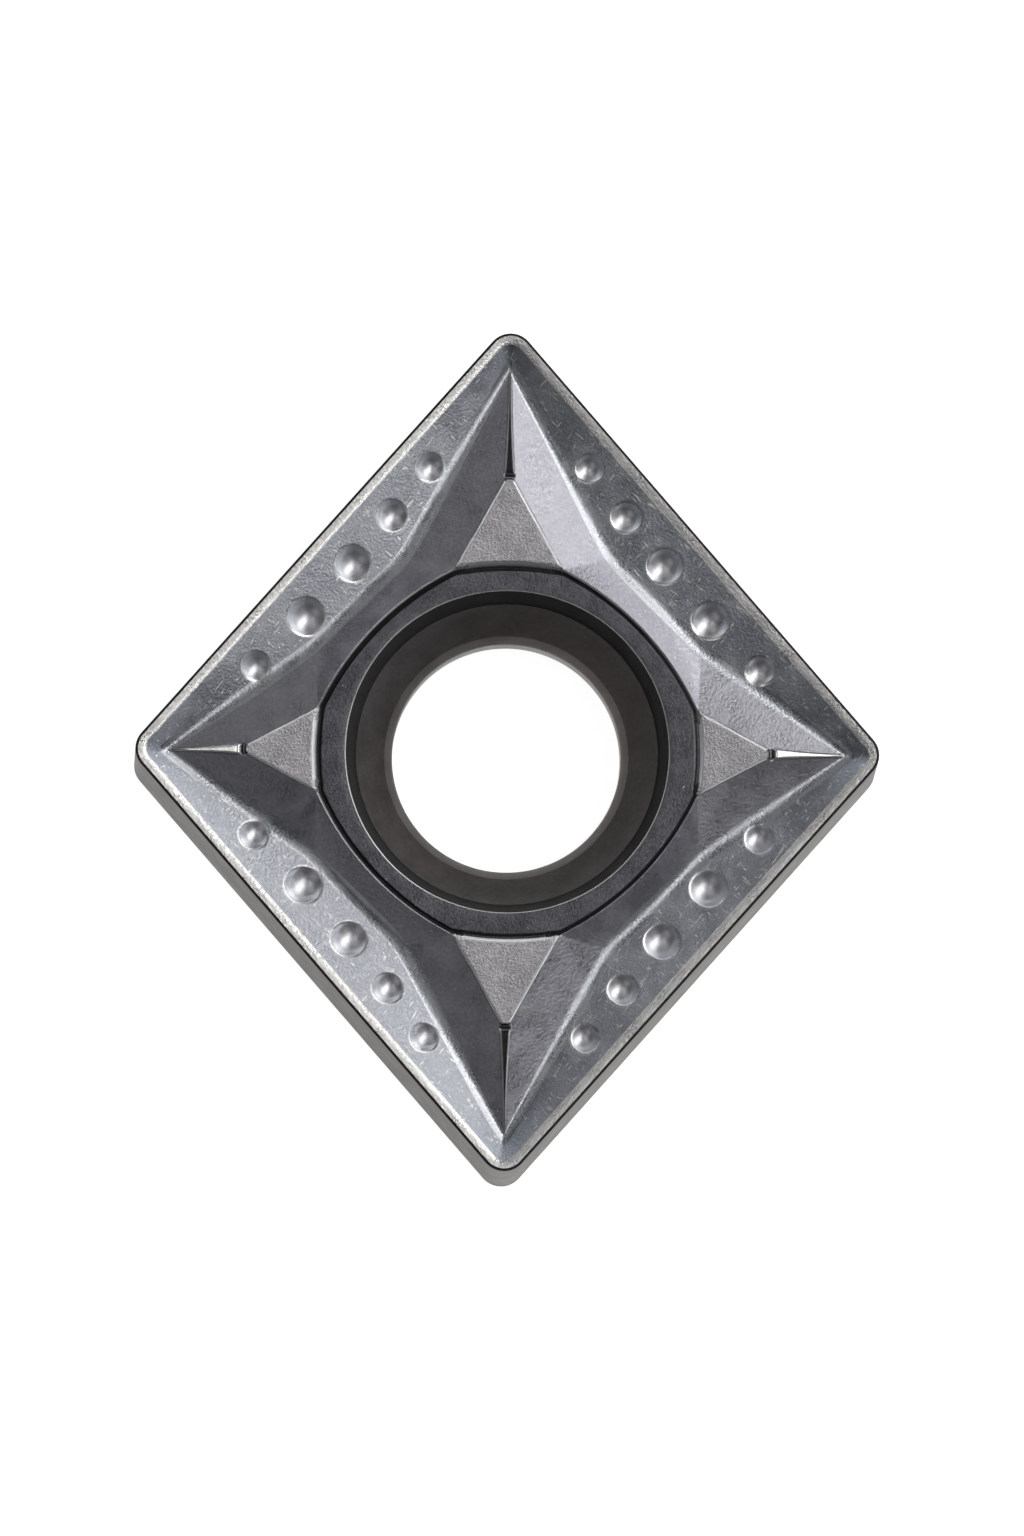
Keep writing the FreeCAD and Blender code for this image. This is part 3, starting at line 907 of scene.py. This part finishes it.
# white of the edges made bright, partly wear and partly painted highlight, then their roughness
# and how much less metallic they are
HIGHLIGHT_AND_WEAR_WHITE = (1.0, 1.0, 1.0)
RIM_ROUGHNESS, RIM_SCATTER = 0.22, 0.15


def placed(tree, name, vector, **values):
    """One of the shared effects, with this zone's values."""
    node = tree.nodes.new("ShaderNodeGroup")
    node.node_tree = EFFECTS[name]
    tree.links.new(vector, node.inputs["Vector"])
    for label, value in values.items():
        node.inputs[label].default_value = value
    return node.outputs[0]


def mixed(tree, share, first, second):
    """Colour between two colours, each a value or another node's output."""
    node = tree.nodes.new("ShaderNodeMix")
    node.data_type = "RGBA"
    tree.links.new(share, node.inputs["Factor"])
    for socket, colour in ((node.inputs[6], first), (node.inputs[7], second)):
        if isinstance(colour, tuple):
            socket.default_value = (*colour, 1)
        else:
            tree.links.new(colour, socket)
    return node.outputs[2]


def dressed(name, dark, light, fleck, rough, grain, depth, cut, metallic=1.0):
    """Material of one zone.

    dark and light are the two metals of the mottle, fleck the colour in a scratch, rough the
    two roughnesses, grain the grains in a metre, depth the bump in metres, cut the threshold
    of the scratches, where a lower one gives more of them, and metallic 1 for bare metal and
    less for the near-black zones of painted shade. Where the edges are made bright, partly as
    wear and partly as a painted highlight, the colour goes to white.
    """
    material = bpy.data.materials.new(f"insert_{name}")
    material.use_nodes = True
    tree = material.node_tree
    shader = tree.nodes["Principled BSDF"]
    shader.inputs["Specular IOR Level"].default_value = 0.5 * metallic
    where = tree.nodes.new("ShaderNodeTexCoord").outputs["Object"]
    # the brightening of the edges from the mesh: partly wear, partly painted highlight
    highlight_and_wear = tree.nodes.new("ShaderNodeAttribute")
    highlight_and_wear.attribute_name = "rim_highlight_and_wear"
    highlit_and_worn = highlight_and_wear.outputs["Fac"]

    clouds = placed(tree, "mottle", where)
    grains = placed(tree, "grain", where, Scale=grain)
    one_way = placed(tree, "scratches", where, Threshold=cut)
    other_way = placed(
        tree, "scratches", where, Threshold=cut, Turn=SECOND_TURN, Scale=SECOND_SCALE)
    marks = math_node(tree, "MAXIMUM", one_way, other_way)

    tone = math_node(tree, "ADD", math_node(tree, "MULTIPLY", clouds, CLOUD_SHARE),
                     math_node(tree, "MULTIPLY", grains, GRAIN_SHARE))
    flecked = mixed(tree, marks, mixed(tree, tone, dark, light), fleck)
    # painted highlight and wear: the colour goes to white where the edges are made bright
    tree.links.new(mixed(tree, highlit_and_worn, flecked, HIGHLIGHT_AND_WEAR_WHITE), shader.inputs["Base Color"])
    plain_roughness = between(tree, clouds, 0.0, 1.0, *rough)
    roughness = between(tree, highlit_and_worn, 0.0, 1.0, plain_roughness, RIM_ROUGHNESS)
    tree.links.new(roughness, shader.inputs["Roughness"])
    scatter = math_node(tree, "MULTIPLY", highlit_and_worn, RIM_SCATTER)
    shine = math_node(tree, "SUBTRACT", metallic, scatter)
    tree.links.new(shine, shader.inputs["Metallic"])

    bump = tree.nodes.new("ShaderNodeBump")
    bump.inputs["Strength"].default_value = 1
    bump.inputs["Distance"].default_value = depth
    cut_in = math_node(tree, "MULTIPLY", marks, FLECK_DEPTH)
    plain_height = math_node(tree, "SUBTRACT", grains, cut_in)
    height = math_node(
        tree, "MULTIPLY", plain_height, math_node(tree, "SUBTRACT", 1.0, highlit_and_worn))
    tree.links.new(height, bump.inputs["Height"])
    tree.links.new(bump.outputs[0], shader.inputs["Normal"])
    return material


print("a worn edge has roughness", RIM_ROUGHNESS)

# %% [markdown]
# The numbers of all the finishes stand in one table, so the zones can be compared: the warm
# grey of the ground flank, the bright land, the blue grey of the pressed bands and walls, the
# coarse grain of the pads, the smooth dark ring. The near-black entry and shade are painted
# shade, and the white edge and crest, the lighter fold and the much lighter dimples are painted
# highlights. They could be sliders on each material, but then nobody would see that the pads
# are the roughest and the ring the darkest metal.

# %% finishes of the zones
LOOKS = {
    "flank": dict(dark=(0.21, 0.205, 0.19), light=(0.29, 0.28, 0.265), fleck=(0.4, 0.4, 0.4),
                  rough=(0.38, 0.5), grain=16000, depth=1.5e-6, cut=0.72),
    "land": dict(dark=(0.66, 0.655, 0.655), light=(1.0, 0.99, 0.985), fleck=(1.0, 1.0, 1.0),
                 rough=(0.27, 0.38), grain=20000, depth=5e-6, cut=0.70),
    "band": dict(dark=(0.34, 0.36, 0.41), light=(0.63, 0.65, 0.71), fleck=(1.0, 1.0, 1.0),
                 rough=(0.30, 0.42), grain=23000, depth=3.6e-6, cut=0.63),
    "wall": dict(dark=(0.32, 0.32, 0.36), light=(0.50, 0.50, 0.555), fleck=(0.7, 0.7, 0.72),
                 rough=(0.26, 0.36), grain=19000, depth=2.2e-6, cut=0.75),
    "pad": dict(dark=(0.54, 0.515, 0.535), light=(1.0, 0.965, 0.99), fleck=(0.85, 0.83, 0.82),
                rough=(0.50, 0.65), grain=24000, depth=14e-6, cut=0.78),
    "ring": dict(dark=(0.085, 0.088, 0.098), light=(0.19, 0.194, 0.212),
                 fleck=(0.7, 0.7, 0.72), rough=(0.30, 0.38), grain=24000, depth=2e-6, cut=0.76),
    # painted shade: near black and hardly metallic, for the shade in the entry of the bore
    "entry": dict(dark=(0.03, 0.03, 0.03), light=(0.05, 0.05, 0.048), fleck=(0.1, 0.1, 0.1),
                  rough=(0.5, 0.6), grain=12000, depth=0.6e-6, cut=0.74, metallic=0.1),
    "cone": dict(dark=(0.19, 0.176, 0.172), light=(0.25, 0.235, 0.23), fleck=(0.3, 0.3, 0.3),
                 rough=(0.40, 0.50), grain=12000, depth=0.8e-6, cut=0.74),
    "throat": dict(dark=(0.38, 0.365, 0.35), light=(0.46, 0.44, 0.43), fleck=(0.6, 0.6, 0.6),
                   rough=(0.35, 0.45), grain=12000, depth=0.8e-6, cut=0.74),
    # painted highlight: far lighter than the band's metal, so that the dimples' reflections come
    # out bright
    "dimple": dict(dark=(0.86, 0.87, 0.92), light=(0.94, 0.95, 1.0), fleck=(0.8, 0.8, 0.8),
                   rough=(0.36, 0.40), grain=12000, depth=0.3e-6, cut=0.80),
    # painted shade: near black and little metallic, for the honed edge, the crease, the notches
    # and the ribs of the long diagonal
    "painted_shade": dict(dark=(0.02, 0.02, 0.022), light=(0.04, 0.04, 0.043), fleck=(0.1, 0.1, 0.1),
                 rough=(0.35, 0.45), grain=14000, depth=1e-6, cut=0.74, metallic=0.4),
    # painted highlight: near white, on the pads' bevels and the mouth of the bore
    "edge": dict(dark=(0.92, 0.91, 0.89), light=(1.0, 0.99, 0.97), fleck=(1.0, 1.0, 1.0),
                 rough=(0.32, 0.40), grain=14000, depth=1e-6, cut=0.74),
    # painted highlight: a little lighter than the band, and smoother, along the fold of the
    # valley
    "fold": dict(dark=(0.40, 0.42, 0.46), light=(0.62, 0.64, 0.69), fleck=(1.0, 1.0, 1.0),
                 rough=(0.24, 0.30), grain=23000, depth=1.4e-6, cut=0.74),
    # painted highlight: near white, on the ribs of the short diagonal
    "crest": dict(dark=(0.82, 0.81, 0.80), light=(0.92, 0.91, 0.90), fleck=(0.9, 0.9, 0.9),
                  rough=(0.20, 0.24), grain=14000, depth=0.3e-6, cut=0.80),
}
for name in FINISHES:
    material = dressed(name, **LOOKS[name])
    for half in halves:
        half.data.materials.append(material)
print("finishes on each half:", len(halves[0].data.materials))

# %% [markdown]
# The insert is one rigid piece, so both halves ride on the one body of the frame and together
# take the place of its one solid. They could be joined first, but then the mesh would pass the
# number of triangles that is still easy to export.

# %% join the halves to the frame
for half in halves:
    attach(half, "root")
    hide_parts("carbide_insert")
print("riding on the root:", [half.name for half in halves])

# %% [markdown]
# The insert lies on a pale floor that fades into a white background. More light would make the
# floor white too, and bleach the metal. So the floor glows, but only towards the camera and, at
# half strength, in the reflections of the metal. To all other light it is a plain pale floor,
# which keeps the insert's shadow.

# %% floor
FLOOR_REACH = 600 * MM
FLOOR_COLOUR = (0.85, 0.85, 0.85, 1)
FLOOR_GLOW, FLOOR_IN_METAL = 0.92, 0.5


def light_path_floor():
    """Pale floor that shows white to the eye and in the metal, and keeps a shadow."""
    material = bpy.data.materials.new("floor")
    material.use_nodes = True
    tree = material.node_tree
    tree.nodes.clear()
    output = tree.nodes.new("ShaderNodeOutputMaterial")
    diffuse = tree.nodes.new("ShaderNodeBsdfDiffuse")
    diffuse.inputs["Color"].default_value = FLOOR_COLOUR
    glow = tree.nodes.new("ShaderNodeEmission")
    path = tree.nodes.new("ShaderNodeLightPath")
    in_metal = math_node(tree, "MULTIPLY", path.outputs["Is Glossy Ray"], FLOOR_IN_METAL)
    seen = math_node(tree, "MAXIMUM", path.outputs["Is Camera Ray"], in_metal)
    tree.links.new(math_node(tree, "MULTIPLY", seen, FLOOR_GLOW), glow.inputs["Strength"])
    both = tree.nodes.new("ShaderNodeAddShader")
    tree.links.new(diffuse.outputs[0], both.inputs[0])
    tree.links.new(glow.outputs[0], both.inputs[1])
    tree.links.new(both.outputs[0], output.inputs["Surface"])
    return material


floor_corners = [
    (x * FLOOR_REACH, y * FLOOR_REACH, 0) for x, y in ((-1, -1), (1, -1), (1, 1), (-1, 1))]
floor_mesh = bpy.data.meshes.new("floor")
floor_mesh.from_pydata(floor_corners, [], [(0, 1, 2, 3)])
floor_mesh.materials.append(light_path_floor())
floor = bpy.data.objects.new("floor", floor_mesh)
bpy.context.scene.collection.objects.link(floor)
print("floor:", round(2 * FLOOR_REACH, 3), "metres wide")

# %% [markdown]
# Metal has hardly any shade of its own: what the eye sees on it is the lamps. Point lamps would
# give small hard glints, so each lamp is a softbox, a glowing rectangle. A facet turns bright
# when its mirror direction meets a softbox, and the place and size of each was chosen for the
# facets that it lights: the main one for the star's walls at the upper right, the core one for
# the bands at the lower left, the crest one for the ribs.

# %% lights
LAMP_COLOUR = (1.0, 0.985, 0.96)

# Azimuth and angle off the vertical in degrees, distance, width and height in millimetres, and
# brightness
LAMPS = {
    "main_light": (31, 38, 300, 140, 220, 1.35),
    "core_light": (38, 25, 290, 84, 80, 2.2),
    "right_light": (50, 57, 300, 150, 110, 1.6),
    "side_light": (-24, 16, 300, 80, 80, 2.25),
    "back_light": (125, 42, 300, 150, 190, 0.29),
    "fill_light": (218, 44, 300, 170, 130, 0.26),
    "low_light": (0, 60, 300, 60, 90, 0.9),
    "lower_light": (-45, 46, 300, 150, 90, 0.25),
    "crest_light": (163, 19, 300, 50, 50, 2.2),
}


def softbox(name, azimuth, off_vertical, distance, width, height, brightness):
    """Rectangular lamp that faces the insert.

    brightness is what it shows in a mirror: the energy is that times pi times the area.
    """
    a, v = math.radians(azimuth), math.radians(off_vertical)
    way = Vector((math.sin(v) * math.cos(a), math.sin(v) * math.sin(a), math.cos(v)))
    lamp = bpy.data.lights.new(name, "AREA")
    lamp.shape = "RECTANGLE"
    lamp.size, lamp.size_y = width * MM, height * MM
    lamp.color = LAMP_COLOUR
    lamp.energy = brightness * math.pi * lamp.size * lamp.size_y
    lamp_object = bpy.data.objects.new(name, lamp)
    facing = way.to_track_quat("Z", "Y").to_matrix().to_4x4()
    lamp_object.matrix_world = Matrix.Translation(way * distance * MM) @ facing
    bpy.context.scene.collection.objects.link(lamp_object)


for name, values in LAMPS.items():
    softbox(name, *values)
print("softboxes:", len(LAMPS))

# %% [markdown]
# A studio has walls too, and steep facets mirror them. A picture of a room could surround the
# scene. A few nodes are enough: the world is pale near the horizon, mostly towards one side,
# and nearly dark overhead, so that the level faces stay deep grey between the softboxes.

# %% surroundings
HORIZON, OVERHEAD = 1.3, 0.04
HORIZON_TOP, HORIZON_END = 0.12, 0.35
BRIGHT_SIDE = (0.6, 0.8, 0.0)
SIDE_START, SIDE_END, FAR_SIDE = -0.75, 0.1, 0.1
ROOM_COLOUR = (0.92, 0.95, 1.0, 1)


def surroundings():
    """World that is pale at the horizon, mostly on one side, and dim overhead.

    The strength falls with the height of the direction, and rises with its product with the
    bright side.
    """
    world = bpy.data.worlds.new("studio")
    world.use_nodes = True
    tree = world.node_tree
    way = tree.nodes.new("ShaderNodeTexCoord").outputs["Generated"]
    split = tree.nodes.new("ShaderNodeSeparateXYZ")
    tree.links.new(way, split.inputs[0])
    low_down = between(tree, split.outputs["Z"], HORIZON_TOP, HORIZON_END, 1.0, 0.0)
    towards = tree.nodes.new("ShaderNodeVectorMath")
    towards.operation = "DOT_PRODUCT"
    towards.inputs[1].default_value = BRIGHT_SIDE
    tree.links.new(way, towards.inputs[0])
    on_bright_side = between(
        tree, towards.outputs["Value"], SIDE_START, SIDE_END, FAR_SIDE, 1.0)
    share = math_node(tree, "MULTIPLY", low_down, on_bright_side)
    glow = math_node(tree, "MULTIPLY", share, HORIZON)
    background = tree.nodes["Background"]
    background.inputs["Color"].default_value = ROOM_COLOUR
    tree.links.new(math_node(tree, "ADD", glow, OVERHEAD), background.inputs["Strength"])
    return world


bpy.context.scene.world = surroundings()
print("world:", bpy.context.scene.world.name)

# %% [markdown]
# The insert was taken from almost straight above by a long lens, so its sides look parallel and
# only a sliver of two flanks shows. An orthographic camera would be close, but a long lens keeps
# the slight growth of what is nearer. The camera turns by two small tilts and a roll, stands so
# far back that a millimetre is sixty pixels, and is moved aside until the outline sits where it
# does in the picture.

# %% camera
PICTURE_WIDTH, PICTURE_HEIGHT = 1024, 1536
PIXELS_PER_MM = 60.0
OUTLINE_CENTRE_X, OUTLINE_CENTRE_Y = 507.4, 751.6
TILT_BACK, TILT_SIDE, ROLL = math.radians(5.56), math.radians(-0.93), math.radians(0.57)
LENS, SENSOR = 840, 36.0
CLIP_END = 10

camera_data = bpy.data.cameras.new("camera")
camera_data.lens = LENS
camera_data.sensor_width = SENSOR
camera_data.clip_end = CLIP_END
camera = bpy.data.objects.new("camera", camera_data)
bpy.context.scene.collection.objects.link(camera)
bpy.context.scene.camera = camera

distance = PICTURE_HEIGHT / SENSOR * LENS / PIXELS_PER_MM
turn = (Matrix.Rotation(TILT_BACK, 3, "X") @ Matrix.Rotation(TILT_SIDE, 3, "Y")
        @ Matrix.Rotation(ROLL, 3, "Z"))
right, up, back = (turn @ Vector(axis) for axis in ((1, 0, 0), (0, 1, 0), (0, 0, 1)))
aim = Vector((0, 0, SEAT + EDGE))
place = (aim + back * distance
         + right * (PICTURE_WIDTH / 2 - OUTLINE_CENTRE_X) / PIXELS_PER_MM
         + up * (OUTLINE_CENTRE_Y - PICTURE_HEIGHT / 2) / PIXELS_PER_MM)
camera.matrix_world = Matrix.Translation(place * MM) @ turn.to_4x4()
bpy.context.scene.view_settings.view_transform = "Standard"
print("camera stands", round(distance), "mm away")
